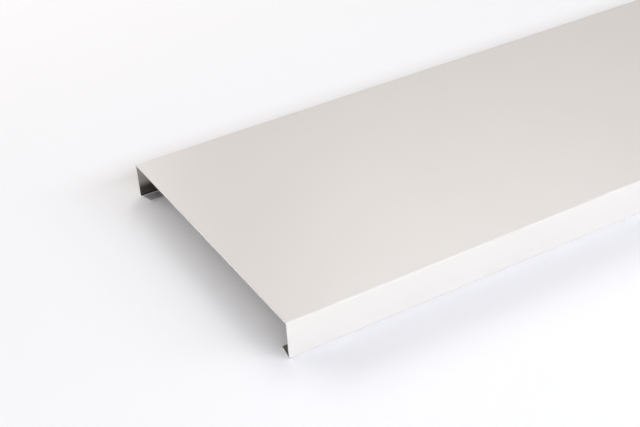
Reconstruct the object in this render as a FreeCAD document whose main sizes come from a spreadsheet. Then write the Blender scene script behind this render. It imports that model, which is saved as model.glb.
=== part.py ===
import FreeCAD, Part
import math
import os
import Sketcher

# One stock length of folded aluminium wall coping, in millimetres.
# A single sheet is folded into a wide flat deck, a leg down each side and a short
# drip lip that turns inward along the foot of each leg.
# X runs along the length, Y across the wall, and Z is up.
# The origin is under the middle of the deck, on the level of the lips' undersides.

DRIVING_SIZES = {
    "length": 2000,
    "width": 300,
    "leg_height": 36,
    "lip_length": 16.5,
    "sheet_thickness": 1.5,
    "bend_inside_radius": 0.5,
    "front_lip_trim": 2.1,
    "rear_lip_trim": 4.2,
}

ORIGIN = (-1, 1)
QUARTER_TURN = math.pi / 2


def fill_spreadsheet(document):
    """Put each driving size in its own aliased cell."""
    sheet = document.addObject("Spreadsheet::Sheet", "sizes")
    for row, (name, value) in enumerate(DRIVING_SIZES.items(), start=1):
        sheet.set(f"A{row}", name)
        sheet.set(f"B{row}", str(value))
        sheet.setAlias(f"B{row}", name)
    document.recompute()
    return sheet


def origin_plane(body, role):
    """Find one of the body's own origin planes."""
    for feature in body.Origin.OriginFeatures:
        if feature.Role == role:
            return feature
    raise ValueError(f"no origin plane {role}")


def new_sketch(body, name, role):
    """Start a sketch on one of the body's origin planes."""
    sketch = body.newObject("Sketcher::SketchObject", name)
    sketch.AttachmentSupport = [(origin_plane(body, role), "")]
    sketch.MapMode = "FlatFace"
    return sketch


def dimension(sketch, name, kind, where, value, formula):
    """Add a named dimension and bind it to the spreadsheet."""
    index = sketch.addConstraint(Sketcher.Constraint(kind, *where, value))
    sketch.renameConstraint(index, name)
    sketch.setExpression(f"Constraints.{name}", formula)


def line(sketch, first, last):
    """Add a straight edge between two flat points."""
    segment = Part.LineSegment(FreeCAD.Vector(*first, 0), FreeCAD.Vector(*last, 0))
    return sketch.addGeometry(segment, False)


def arc(sketch, middle, radius, first_angle):
    """Add a quarter-circle fold that runs anticlockwise from its first angle."""
    circle = Part.Circle(FreeCAD.Vector(*middle, 0), FreeCAD.Vector(0, 0, 1), radius)
    last_angle = first_angle + QUARTER_TURN
    return sketch.addGeometry(Part.ArcOfCircle(circle, first_angle, last_angle), False)


def start(edge):
    """The first point of an edge, as constraints name it."""
    return (edge, 1)


def end(edge):
    """The last point of an edge, as constraints name it."""
    return (edge, 2)


def centre(edge):
    """The centre of an arc, as constraints name it."""
    return (edge, 3)


def join(sketch, kind, pairs):
    """Tie pairs of points: end to end, smoothly, or level or in line with each other."""
    for first, second in pairs:
        sketch.addConstraint(Sketcher.Constraint(kind, *first, *second))


def draw_half_section(body, size):
    """Draw the folded sheet from the middle of the deck round to the rear lip's tip."""
    sketch = new_sketch(body, "half_section", "YZ_Plane")
    half_width = size["width"] / 2
    top = size["leg_height"]
    thickness = size["sheet_thickness"]
    inner = size["bend_inside_radius"]
    outer = inner + thickness
    bend_y = half_width - outer
    lip_tip = half_width - size["lip_length"]
    deck_centre = (bend_y, top - outer)
    foot_centre = (bend_y, outer)

    deck_top = line(sketch, (0, top), (bend_y, top))
    deck_bend_outside = arc(sketch, deck_centre, outer, 0)
    leg_outside = line(sketch, (half_width, top - outer), (half_width, outer))
    foot_bend_outside = arc(sketch, foot_centre, outer, -QUARTER_TURN)
    lip_underside = line(sketch, (bend_y, 0), (lip_tip, 0))
    lip_edge = line(sketch, (lip_tip, 0), (lip_tip, thickness))
    lip_upperside = line(sketch, (lip_tip, thickness), (bend_y, thickness))
    foot_bend_inside = arc(sketch, foot_centre, inner, -QUARTER_TURN)
    leg_inside = line(sketch, (bend_y + inner, outer), (bend_y + inner, top - outer))
    deck_bend_inside = arc(sketch, deck_centre, inner, 0)
    deck_underside = line(sketch, (bend_y, top - thickness), (0, top - thickness))
    middle = line(sketch, (0, top - thickness), (0, top))

    join(sketch, "Tangent", [
        (end(deck_top), end(deck_bend_outside)),
        (start(deck_bend_outside), start(leg_outside)),
        (end(leg_outside), end(foot_bend_outside)),
        (start(foot_bend_outside), start(lip_underside)),
        (end(lip_upperside), start(foot_bend_inside)),
        (end(foot_bend_inside), start(leg_inside)),
        (end(leg_inside), start(deck_bend_inside)),
        (end(deck_bend_inside), start(deck_underside)),
    ])
    join(sketch, "Coincident", [
        (end(lip_underside), start(lip_edge)),
        (end(lip_edge), start(lip_upperside)),
        (end(deck_underside), start(middle)),
        (end(middle), start(deck_top)),
        (centre(deck_bend_outside), centre(deck_bend_inside)),
        (centre(foot_bend_outside), centre(foot_bend_inside)),
    ])
    for edge in (deck_top, lip_underside, lip_upperside, deck_underside):
        sketch.addConstraint(Sketcher.Constraint("Horizontal", edge))
    for edge in (leg_outside, lip_edge, leg_inside, middle):
        sketch.addConstraint(Sketcher.Constraint("Vertical", edge))
    join(sketch, "Horizontal", [(start(lip_underside), ORIGIN)])
    join(sketch, "Vertical", [(start(middle), ORIGIN)])

    dimension(sketch, "half_width", "DistanceX", (*ORIGIN, *start(leg_outside)),
              half_width, "sizes.width / 2")
    dimension(sketch, "leg_height", "DistanceY", (*ORIGIN, *start(deck_top)),
              top, "sizes.leg_height")
    dimension(sketch, "lip_length", "DistanceX", (*start(lip_edge), *end(leg_outside)),
              size["lip_length"], "sizes.lip_length")
    dimension(sketch, "sheet_thickness", "DistanceY", (*start(middle), *end(middle)),
              thickness, "sizes.sheet_thickness")
    dimension(sketch, "deck_bend", "Radius", (deck_bend_inside,),
              inner, "sizes.bend_inside_radius")
    dimension(sketch, "foot_bend", "Radius", (foot_bend_inside,),
              inner, "sizes.bend_inside_radius")
    return sketch


def draw_lip_trim(body, size, name, side, trim_name):
    """Draw the sliver snipped off one lip at the left end, from the fold to the tip."""
    sketch = new_sketch(body, name, "XY_Plane")
    half_length = size["length"] / 2
    fold = size["width"] / 2 - size["sheet_thickness"] - size["bend_inside_radius"]
    tip = size["width"] / 2 - size["lip_length"]
    trim = size[trim_name]
    at_fold = (-half_length, side * fold)
    at_tip = (-half_length, side * tip)
    set_back = (-half_length + trim, side * tip)

    end_edge = line(sketch, at_fold, at_tip)
    tip_edge = line(sketch, at_tip, set_back)
    cut_edge = line(sketch, set_back, at_fold)
    join(sketch, "Coincident", [
        (end(end_edge), start(tip_edge)),
        (end(tip_edge), start(cut_edge)),
        (end(cut_edge), start(end_edge)),
    ])
    sketch.addConstraint(Sketcher.Constraint("Vertical", end_edge))
    sketch.addConstraint(Sketcher.Constraint("Horizontal", tip_edge))

    def across(point):
        if side > 0:
            return (*ORIGIN, *point)
        return (*point, *ORIGIN)

    dimension(sketch, "half_length", "DistanceX", (*start(end_edge), *ORIGIN),
              half_length, "sizes.length / 2")
    dimension(sketch, "fold_line", "DistanceY", across(start(end_edge)), fold,
              "sizes.width / 2 - sizes.sheet_thickness - sizes.bend_inside_radius")
    dimension(sketch, "lip_tip", "DistanceY", across(end(end_edge)), tip,
              "sizes.width / 2 - sizes.lip_length")
    dimension(sketch, "trim", "DistanceX", (*start(tip_edge), *end(tip_edge)), trim,
              f"sizes.{trim_name}")
    return sketch


def mirror(body, name, feature, role):
    """Repeat a feature on the other side of an origin plane."""
    copy = body.newObject("PartDesign::Mirrored", name)
    copy.Originals = [feature]
    copy.MirrorPlane = (origin_plane(body, role), [""])
    body.Tip = copy
    return copy


def trim_lip(body, size, name, side, trim_name):
    """Snip both ends of one lip, square through the sheet."""
    before = body.Shape.Volume
    cut = body.newObject("PartDesign::Pocket", name)
    cut.Profile = draw_lip_trim(body, size, f"{name}_outline", side, trim_name)
    cut.SideType = "Symmetric"
    cut.setExpression("Length", "sizes.leg_height")
    body.Document.recompute()
    ends = mirror(body, f"{name}_other_end", cut, "YZ_Plane")
    body.Document.recompute()
    if not ends.Shape.Volume < cut.Shape.Volume < before:
        raise ValueError(f"{name} removed nothing")


def make_coping(document, size):
    """Fold the sheet and trim the ends of its lips."""
    body = document.addObject("PartDesign::Body", "coping_sheet")
    body.Label = "coping_sheet"
    half_fold = body.newObject("PartDesign::Pad", "half_fold")
    half_fold.Profile = draw_half_section(body, size)
    half_fold.SideType = "Symmetric"
    half_fold.setExpression("Length", "sizes.length")
    document.recompute()
    mirror(body, "whole_fold", half_fold, "XZ_Plane")
    document.recompute()
    trim_lip(body, size, "front_trim", -1, "front_lip_trim")
    trim_lip(body, size, "rear_trim", 1, "rear_lip_trim")
    return body


def check(document, body):
    """Stop if any feature failed or the coping is not one sound solid."""
    for feature in document.Objects:
        if "Invalid" in feature.State or "Error" in feature.State:
            raise ValueError(f"{feature.Name} failed")
    shape = body.Shape
    if shape.isNull() or not shape.isValid() or len(shape.Solids) != 1:
        raise ValueError(f"{body.Label} is not one valid solid")


document = FreeCAD.newDocument("wall_coping")
sheet = fill_spreadsheet(document)
size = {name: float(sheet.get(name)) for name in DRIVING_SIZES}
coping = make_coping(document, size)
check(document, coping)
os.makedirs("parts", exist_ok=True)
coping.Shape.exportStep(f"parts/{coping.Label}.step")
print(coping.Label, "volume", round(coping.Shape.Volume), "mm3")
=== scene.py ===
import math

import bmesh
import bpy
from mathutils import Matrix, Vector


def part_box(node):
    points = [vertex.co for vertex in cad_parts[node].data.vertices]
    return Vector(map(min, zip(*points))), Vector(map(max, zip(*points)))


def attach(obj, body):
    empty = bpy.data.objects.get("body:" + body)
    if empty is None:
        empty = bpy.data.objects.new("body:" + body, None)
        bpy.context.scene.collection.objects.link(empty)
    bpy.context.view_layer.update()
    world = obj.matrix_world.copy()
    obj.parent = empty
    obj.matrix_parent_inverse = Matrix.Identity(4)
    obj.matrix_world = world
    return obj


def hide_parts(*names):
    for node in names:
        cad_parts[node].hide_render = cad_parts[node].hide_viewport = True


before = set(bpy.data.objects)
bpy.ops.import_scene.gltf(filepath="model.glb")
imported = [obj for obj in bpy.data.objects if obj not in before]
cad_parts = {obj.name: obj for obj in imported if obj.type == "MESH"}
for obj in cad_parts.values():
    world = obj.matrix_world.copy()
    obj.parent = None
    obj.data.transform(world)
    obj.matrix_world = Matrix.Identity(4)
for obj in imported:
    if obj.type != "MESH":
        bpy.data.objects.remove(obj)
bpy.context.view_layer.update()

# Sizes
# The overall sizes come from the frame. The rest repeat the folded sheet's own.

MM = 0.001
NODE = "coping_sheet"
low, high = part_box(NODE)
HALF_LENGTH = (high.x - low.x) / 2
HALF_WIDTH = (high.y - low.y) / 2
HEIGHT = high.z - low.z
THICKNESS = 1.5 * MM
INSIDE_RADIUS = 0.5 * MM
OUTSIDE_RADIUS = INSIDE_RADIUS + THICKNESS
LIP_LENGTH = 16.5 * MM
FRONT_TRIM = 2.1 * MM
REAR_TRIM = 4.2 * MM
EDGE_ROUNDING = 0.12 * MM
SHARP_ANGLE = math.radians(50)
FOLD_Y = HALF_WIDTH - OUTSIDE_RADIUS
TIP_Y = HALF_WIDTH - LIP_LENGTH
QUARTER_TURN = math.pi / 2

# A pale matt line on the rear lip's upper face, partly rubbed wear and partly a painted
# highlight of the fold, by distance from the leg's inner face.
RUB_HIGHLIGHT_START = 1.2 * MM
RUB_HIGHLIGHT_FULL = 1.7 * MM
RUB_HIGHLIGHT_FADE = 2.9 * MM
RUB_HIGHLIGHT_END = 3.9 * MM

# How dull the front lip is, and the rear one beyond that line, from 0 for bare metal to 1.
# Both lips lie below the height of the lip zone.
FRONT_DULLNESS = 0.2
REAR_DULLNESS = 0.58
LIP_ZONE = 2 * THICKNESS

# The inside has painted shade, full at the foot of each leg and none under the deck: the heights
# of full and light painted shade, and how far towards its unshaded colour the metal is at the
# second.
FULL_SHADE_HEIGHT = 9.8 * MM
LIGHT_SHADE_HEIGHT = 16.5 * MM
LIGHT_SHADE_BRIGHTNESS = 0.65

# How finely the mesh is divided.
FOLD_STEPS = 10
LIP_STEPS = 4
LEG_STEPS = 6
DECK_STEPS = 48
LENGTH_STEPS = 96
ROUNDING_STEPS = 2

# Zones of the sheet's surface, as material indices.
OUTSIDE, INSIDE, CUT = range(3)

# Camera, fitted to the photograph's edges, with its lens and sensor in millimetres.
# It stands off the near bottom corner of the coping.
LENS = 69.8
SENSOR = 36.0
CAMERA_YAW = math.radians(27.89)
CAMERA_PITCH = math.radians(32.78)
CAMERA_ROLL = math.radians(-4.23)
CAMERA_FROM_CORNER = Vector((-0.3291, -0.6911, 0.6276))

# What a lamp adds to: plain shading, reflections or both.
SHADING, REFLECTIONS, BOTH = range(3)

# Studio lamps: name, place, aim, width and height, watts, colour, what it adds to.
LAMPS = (
    ("front low", (0.0, -2.5, 0.6), (0.0, 0.0, 0.0), (6.4, 0.8), 19, (1.0, 1.0, 1.0), SHADING),
    ("front", (0.3, -2.15, 1.45), (0.3, 0.0, 0.0), (6.4, 0.9), 113, (0.93, 1.0, 1.11), SHADING),
    ("edge", (0.8, -1.9, 1.95), (0.8, 0.0, 0.0), (5.0, 0.9), 88, (0.93, 1.0, 1.11), REFLECTIONS),
    ("rear left", (-1.72, 2.15, 1.45), (-0.92, 0.0, 0.0), (3.2, 0.9), 48, (1.0, 1.0, 1.0), BOTH),
    ("sheen", (0.44, 1.51, 2.36), (-0.6, 0.0, 0.0), (1.2, 2.0), 23, (1.0, 1.0, 1.0), BOTH),
)

# Even light from all round.
WORLD_LIGHT = (0.158, 0.125, 0.09, 1.0)

# The floor is lit near the part, and fades to plain white for the camera further off,
# by distance from the part's middle in metres.
FLOOR_SIZE = 60.0
FLOOR_ALBEDO = (0.856, 0.849, 0.855, 1.0)
FADE_START = 1.2
FADE_END = 2.3


def srgb(red, green, blue):
    """A colour given as it is seen on a screen, from 0 to 255, in linear light."""
    def linear(value):
        part = value / 255
        return part / 12.92 if part <= 0.04045 else ((part + 0.055) / 1.055) ** 2.4
    return linear(red), linear(green), linear(blue), 1.0


# Finishes. Noise runs between the two colours or roughnesses of a pair. A scale is so many
# per metre, and a height is how far the noise raises the surface.

COAT_COLOURS = (srgb(208, 203, 198), srgb(212, 207, 202))
COAT_ROUGHNESS = (0.27, 0.33)
COAT_IOR = 1.5
COAT_CLOUD_SCALE = 7.0
COAT_SHEEN_SCALE = 40.0
COAT_GRAIN_SCALE = 900.0
COAT_GRAIN_HEIGHT = 0.01 * MM
CUT_COLOURS = (srgb(232, 232, 232), srgb(242, 242, 242))
CUT_ROUGHNESS = (0.35, 0.5)
CUT_METALLIC = 0.5
CUT_GRAIN_SCALE = 1500.0
CUT_GRAIN_HEIGHT = 0.03 * MM
# Painted shade on the inside metal, darkest at the foot of each leg, and the metal's unshaded
# colours.
PAINTED_SHADE_COLOURS = ((0.162, 0.15, 0.138, 1.0), (0.19, 0.176, 0.162, 1.0))
UNSHADED_METAL_COLOURS = ((0.755, 0.725, 0.70, 1.0), (0.815, 0.785, 0.76, 1.0))
METAL_ROUGHNESS = 0.26
ROLLING_SCALE = 12.0
ROLLING_STRETCH = (1, 60, 60)
ROLLING_HEIGHT = 0.02 * MM
# Pale matt colour of the dull lips, and of the painted highlight along the line by the rear
# fold.
PALE_MATT_COLOUR = (0.95, 0.95, 0.95, 1.0)
PALE_MATT_ROUGHNESS = 0.5
FLOOR_ROUGHNESS = 0.9
BLACK = (0.0, 0.0, 0.0, 1.0)
WHITE = (1.0, 1.0, 1.0, 1.0)

# The colour sockets of a mix node, by place, because their names repeat.
MIX_FIRST, MIX_SECOND, MIX_RESULT = 6, 7, 2


# Materials

class Nodes:
    """A short way to write a material's node tree."""

    def __init__(self, name):
        self.material = bpy.data.materials.new(name)
        self.material.use_nodes = True
        self.tree = self.material.node_tree
        self.shader = self.tree.nodes["Principled BSDF"]

    def add(self, kind, settings=None, inputs=None):
        """Add a node, set its plain properties, then set or link its inputs."""
        node = self.tree.nodes.new(kind)
        for name, value in (settings or {}).items():
            setattr(node, name, value)
        for socket, value in (inputs or {}).items():
            self.put(node, socket, value)
        return node

    def put(self, node, socket, value):
        """Set one input of a node to a value, or link another node's output to it."""
        target = node.inputs[socket]
        if isinstance(value, bpy.types.NodeSocket):
            self.tree.links.new(value, target)
        else:
            target.default_value = value

    def finish(self, **inputs):
        """Set or link the inputs of the surface shader."""
        for name, value in inputs.items():
            self.put(self.shader, name.replace("_", " "), value)
        return self.material

    def noise(self, size, stretch=(1, 1, 1), detail=2.0):
        """Noise from 0 to 1, so many per metre, stretched along each axis of the part."""
        place = self.add("ShaderNodeTexCoord").outputs["Object"]
        mapping = self.add("ShaderNodeMapping", inputs={"Vector": place, "Scale": stretch})
        inputs = {"Vector": mapping.outputs["Vector"], "Scale": size, "Detail": detail}
        return self.add("ShaderNodeTexNoise", inputs=inputs).outputs["Fac"]

    def spread(self, value, start, end, low_end=0.0, high_end=1.0):
        """Stretch a value that runs from low_end to high_end to run from start to end."""
        inputs = {"Value": value, "From Min": low_end, "From Max": high_end,
                  "To Min": start, "To Max": end}
        return self.add("ShaderNodeMapRange", inputs=inputs).outputs["Result"]

    def blend(self, factor, first, second):
        """A colour between two, by a factor from 0 to 1."""
        inputs = {"Factor": factor, MIX_FIRST: first, MIX_SECOND: second}
        return self.add("ShaderNodeMix", {"data_type": "RGBA"}, inputs).outputs[MIX_RESULT]

    def bump(self, height, distance):
        """A surface normal raised by a height from 0 to 1, over a distance in metres."""
        inputs = {"Height": height, "Distance": distance}
        return self.add("ShaderNodeBump", inputs=inputs).outputs["Normal"]

    def math(self, operation, *values):
        """The result of a sum on numbers or other nodes' outputs."""
        inputs = dict(enumerate(values))
        return self.add("ShaderNodeMath", {"operation": operation}, inputs).outputs["Value"]


def make_coat():
    """Off-white satin coat with a very fine texture."""
    nodes = Nodes("coat_off_white")
    cloud = nodes.noise(COAT_CLOUD_SCALE, detail=3.0)
    grain = nodes.noise(COAT_GRAIN_SCALE)
    return nodes.finish(
        Base_Color=nodes.blend(cloud, *COAT_COLOURS),
        Roughness=nodes.spread(nodes.noise(COAT_SHEEN_SCALE), *COAT_ROUGHNESS),
        Normal=nodes.bump(grain, COAT_GRAIN_HEIGHT),
        IOR=COAT_IOR,
    )


def lip_dullness(nodes, axes):
    """How dull each lip is. The rear one has a pale matt line by the fold: rubbed wear and
    painted highlight.
    """
    from_leg = nodes.math("SUBTRACT", HALF_WIDTH - THICKNESS, axes["Y"])
    rising = nodes.spread(from_leg, 0.0, 1.0, RUB_HIGHLIGHT_START, RUB_HIGHLIGHT_FULL)
    falling = nodes.spread(from_leg, 1.0, REAR_DULLNESS, RUB_HIGHLIGHT_FADE, RUB_HIGHLIGHT_END)
    # Painted highlight, partly rubbed wear: the pale line by the rear fold.
    rub_and_highlight = nodes.math("MULTIPLY", rising, falling)
    rear = nodes.math("GREATER_THAN", axes["Y"], 0.0)
    on_lip = nodes.math("LESS_THAN", axes["Z"], LIP_ZONE)
    return nodes.math("MULTIPLY", on_lip, nodes.spread(rear, FRONT_DULLNESS, rub_and_highlight))


def painted_shade_ramp(nodes, axes):
    """How far the painted shade lifts, from 0 at the foot of a leg to 1 under the deck."""
    foot = nodes.spread(axes["Z"], 0.0, LIGHT_SHADE_BRIGHTNESS, FULL_SHADE_HEIGHT, LIGHT_SHADE_HEIGHT)
    above = nodes.spread(axes["Z"], 0.0, 1.0 - LIGHT_SHADE_BRIGHTNESS, LIGHT_SHADE_HEIGHT, HEIGHT)
    return nodes.math("ADD", foot, above)


def make_inside():
    """Grey mill-finished metal with fine rolling lines along the length.

    It has painted shade, darker towards the foot of each leg, and it is duller on the lips.
    """
    nodes = Nodes("metal_inside")
    place = nodes.add("ShaderNodeTexCoord").outputs["Object"]
    axes = nodes.add("ShaderNodeSeparateXYZ", inputs={"Vector": place}).outputs
    lines = nodes.noise(ROLLING_SCALE, ROLLING_STRETCH, detail=4.0)
    painted_dark = nodes.blend(lines, *PAINTED_SHADE_COLOURS)
    unshaded = nodes.blend(lines, *UNSHADED_METAL_COLOURS)
    # Painted shade: the metal darkens towards the foot of each leg.
    metal = nodes.blend(painted_shade_ramp(nodes, axes), painted_dark, unshaded)
    dull = lip_dullness(nodes, axes)
    return nodes.finish(
        Base_Color=nodes.blend(dull, metal, PALE_MATT_COLOUR),
        Roughness=nodes.spread(dull, METAL_ROUGHNESS, PALE_MATT_ROUGHNESS),
        Normal=nodes.bump(lines, ROLLING_HEIGHT),
        Metallic=nodes.spread(dull, 1.0, 0.0),
    )


def make_cut_edge():
    """Bright sheared edge of the sheet."""
    nodes = Nodes("metal_cut_edge")
    grain = nodes.noise(CUT_GRAIN_SCALE)
    return nodes.finish(
        Base_Color=nodes.blend(grain, *CUT_COLOURS),
        Roughness=nodes.spread(grain, *CUT_ROUGHNESS),
        Normal=nodes.bump(grain, CUT_GRAIN_HEIGHT),
        Metallic=CUT_METALLIC,
    )


def make_floor():
    """Plain pale floor with the part's shadow, which the camera sees as white further off."""
    nodes = Nodes("floor_pale")
    place = nodes.add("ShaderNodeTexCoord").outputs["Object"]
    distance = nodes.add("ShaderNodeVectorMath", {"operation": "LENGTH"}, {0: place})
    far = nodes.spread(distance.outputs["Value"], 0.0, 1.0, FADE_START, FADE_END)
    path = nodes.add("ShaderNodeLightPath").outputs
    seen = nodes.math("MAXIMUM", path["Is Camera Ray"], path["Is Glossy Ray"])
    white = nodes.math("MULTIPLY", seen, far)
    return nodes.finish(
        Base_Color=nodes.blend(white, FLOOR_ALBEDO, BLACK),
        Roughness=FLOOR_ROUGHNESS,
        Specular_IOR_Level=0.0,
        Emission_Color=WHITE,
        Emission_Strength=white,
    )


# Shape

def fold_points(centre, start):
    """Pairs of outer and inner points round a quarter-circle fold, turning clockwise."""
    pairs = []
    for step in range(FOLD_STEPS + 1):
        angle = start - QUARTER_TURN * step / FOLD_STEPS
        direction = Vector((math.cos(angle), math.sin(angle)))
        pairs.append((centre + direction * OUTSIDE_RADIUS, centre + direction * INSIDE_RADIUS))
    return pairs


def flat_points(first, last, steps):
    """Pairs of points evenly along a flat run, without its two ends."""
    return [
        tuple(start.lerp(end, step / steps) for start, end in zip(first, last))
        for step in range(1, steps)
    ]


def section():
    """Pairs of outer and inner points across the sheet, from the front lip to the rear lip."""
    tip = (Vector((-TIP_Y, 0)), Vector((-TIP_Y, THICKNESS)))
    foot = fold_points(Vector((-FOLD_Y, OUTSIDE_RADIUS)), -QUARTER_TURN)
    shoulder = fold_points(Vector((-FOLD_Y, HEIGHT - OUTSIDE_RADIUS)), -2 * QUARTER_TURN)
    front = [tip, *flat_points(tip, foot[0], LIP_STEPS), *foot]
    front += [*flat_points(foot[-1], shoulder[0], LEG_STEPS), *shoulder]
    rear = [tuple(Vector((-point.x, point.y)) for point in pair) for pair in reversed(front)]
    return front + flat_points(front[-1], rear[0], DECK_STEPS) + rear


def half_length(point):
    """Distance from the middle to the cut end. The lips slope back from the fold to the tip."""
    inward = FOLD_Y - abs(point.x)
    if point.y > HEIGHT / 2 or inward <= 0:
        return HALF_LENGTH
    trim = FRONT_TRIM if point.x < 0 else REAR_TRIM
    return HALF_LENGTH - trim * inward / (FOLD_Y - TIP_Y)


def sheet_mesh():
    """The folded sheet as one closed mesh, with its three zones."""
    pairs = section()
    mesh = bmesh.new()
    rows = []
    for step in range(LENGTH_STEPS + 1):
        along = 2 * step / LENGTH_STEPS - 1
        row = []
        for pair in pairs:
            x = along * half_length(pair[0])
            row.append([mesh.verts.new((x, point.x, point.y)) for point in pair])
        rows.append(row)

    def face(corners, zone):
        made = mesh.faces.new(corners)
        made.material_index = zone
        made.smooth = True

    across = range(len(pairs) - 1)
    for here, there in zip(rows, rows[1:]):
        for i in across:
            face((here[i][0], there[i][0], there[i + 1][0], here[i + 1][0]), OUTSIDE)
            face((here[i + 1][1], there[i + 1][1], there[i][1], here[i][1]), INSIDE)
        face((here[0][1], there[0][1], there[0][0], here[0][0]), CUT)
        face((here[-1][0], there[-1][0], there[-1][1], here[-1][1]), CUT)
    for row in (rows[0], rows[-1]):
        for i in across:
            face((row[i][0], row[i][1], row[i + 1][1], row[i + 1][0]), CUT)
    bmesh.ops.recalc_face_normals(mesh, faces=mesh.faces)
    data = bpy.data.meshes.new("coping")
    mesh.to_mesh(data)
    mesh.free()
    return data


def make_coping():
    """The coping: its sheet, its finishes and slightly rounded cut edges."""
    data = sheet_mesh()
    for material in (make_coat(), make_inside(), make_cut_edge()):
        data.materials.append(material)
    piece = bpy.data.objects.new("coping", data)
    bpy.context.scene.collection.objects.link(piece)
    rounding = piece.modifiers.new("rounding", "BEVEL")
    rounding.width = EDGE_ROUNDING
    rounding.segments = ROUNDING_STEPS
    rounding.limit_method = "ANGLE"
    rounding.angle_limit = SHARP_ANGLE
    piece.modifiers.new("shading", "WEIGHTED_NORMAL")
    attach(piece, "root")
    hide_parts(NODE)


# Studio

def make_ground():
    """A wide flat floor under the part."""
    bpy.ops.mesh.primitive_plane_add(size=FLOOR_SIZE)
    floor = bpy.context.object
    floor.name = "floor"
    floor.data.materials.append(make_floor())


def area_light(name, place, aim, size, watts, colour, adds_to):
    """A soft rectangular lamp aimed at a point, unseen by the camera."""
    data = bpy.data.lights.new(name, "AREA")
    data.shape = "RECTANGLE"
    data.size, data.size_y = size
    data.energy = watts
    data.color = colour
    lamp = bpy.data.objects.new(name, data)
    lamp.location = place
    lamp.rotation_euler = (Vector(aim) - Vector(place)).to_track_quat("-Z", "Y").to_euler()
    lamp.visible_camera = False
    lamp.visible_diffuse = adds_to != REFLECTIONS
    lamp.visible_glossy = adds_to != SHADING
    bpy.context.scene.collection.objects.link(lamp)


def make_world():
    """Even studio light, which the camera sees as white."""
    world = bpy.data.worlds.new("studio")
    world.use_nodes = True
    tree = world.node_tree
    path = tree.nodes.new("ShaderNodeLightPath")
    colour = tree.nodes.new("ShaderNodeValToRGB")
    colour.color_ramp.elements[0].color = WORLD_LIGHT
    colour.color_ramp.elements[1].color = WHITE
    tree.links.new(path.outputs["Is Camera Ray"], colour.inputs["Fac"])
    tree.links.new(colour.outputs["Color"], tree.nodes["Background"].inputs["Color"])
    bpy.context.scene.world = world


def make_camera():
    """The photograph's viewpoint."""
    data = bpy.data.cameras.new("camera")
    data.sensor_width = SENSOR
    data.lens = LENS
    camera = bpy.data.objects.new("camera", data)
    place = Matrix.Translation(low + CAMERA_FROM_CORNER)
    turn = Matrix.Rotation(-CAMERA_YAW, 4, "Z")
    tilt = Matrix.Rotation(QUARTER_TURN - CAMERA_PITCH, 4, "X")
    roll = Matrix.Rotation(CAMERA_ROLL, 4, "Z")
    camera.matrix_world = place @ turn @ tilt @ roll
    bpy.context.scene.collection.objects.link(camera)
    bpy.context.scene.camera = camera


make_camera()
make_coping()
make_ground()
make_world()
for lamp in LAMPS:
    area_light(*lamp)
bpy.context.scene.view_settings.view_transform = "Standard"
